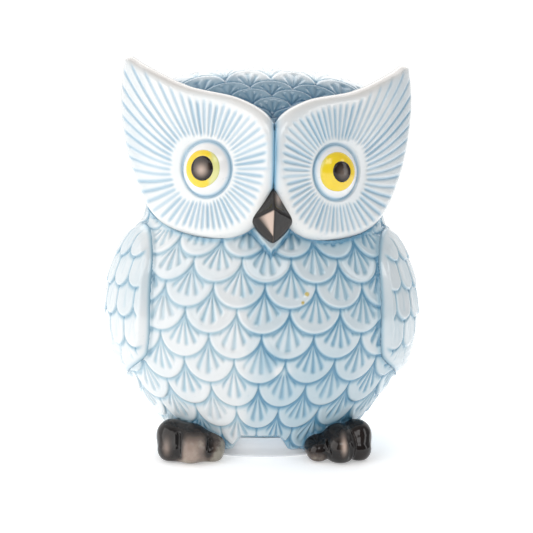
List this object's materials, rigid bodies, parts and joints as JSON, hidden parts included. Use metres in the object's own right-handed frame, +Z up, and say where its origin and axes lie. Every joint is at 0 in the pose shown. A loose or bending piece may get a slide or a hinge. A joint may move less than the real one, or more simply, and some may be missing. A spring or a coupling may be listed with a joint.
{
  "type": "owl coin bank",
  "caption": "Glazed ceramic owl coin bank: hollow casting with a coin slot in the back of its head and a pull-out stopper in its base.",
  "frame": {"origin": "on the standing surface, in the middle of the owl's width and depth", "axes": "+Z up, the owl looks along -Y, and +X is the owl's left side"},
  "size_m": [0.126, 0.106, 0.1497],
  "materials": {
    "blue_glaze": "gloss",
    "base_glaze": "gloss",
    "pale_glaze": "gloss",
    "white_glaze": "gloss",
    "yellow_glaze": "gloss",
    "brown_glaze": "gloss",
    "stopper_rubber": "satin"
  },
  "bodies": {
    "casting": {"torso_shell": "blue_glaze", "head_shell": "blue_glaze", "base_plate": "base_glaze", "left_face_disc": "pale_glaze", "right_face_disc": "pale_glaze", "left_ear_tuft": "blue_glaze", "right_ear_tuft": "blue_glaze", "left_eye": "white_glaze", "right_eye": "white_glaze", "left_iris": "yellow_glaze", "right_iris": "yellow_glaze", "left_pupil": "brown_glaze", "right_pupil": "brown_glaze", "beak": "brown_glaze", "left_wing": "blue_glaze", "right_wing": "blue_glaze", "left_foot": "brown_glaze", "right_foot": "brown_glaze", "tail": "blue_glaze"},
    "stopper": {"stopper": "stopper_rubber"}
  },
  "joints": [
    {"name": "stopper_pull", "type": "slide", "parent": "casting", "child": "stopper", "axis": [0, 0, -1], "range_m": [0, 0.03]}
  ]
}
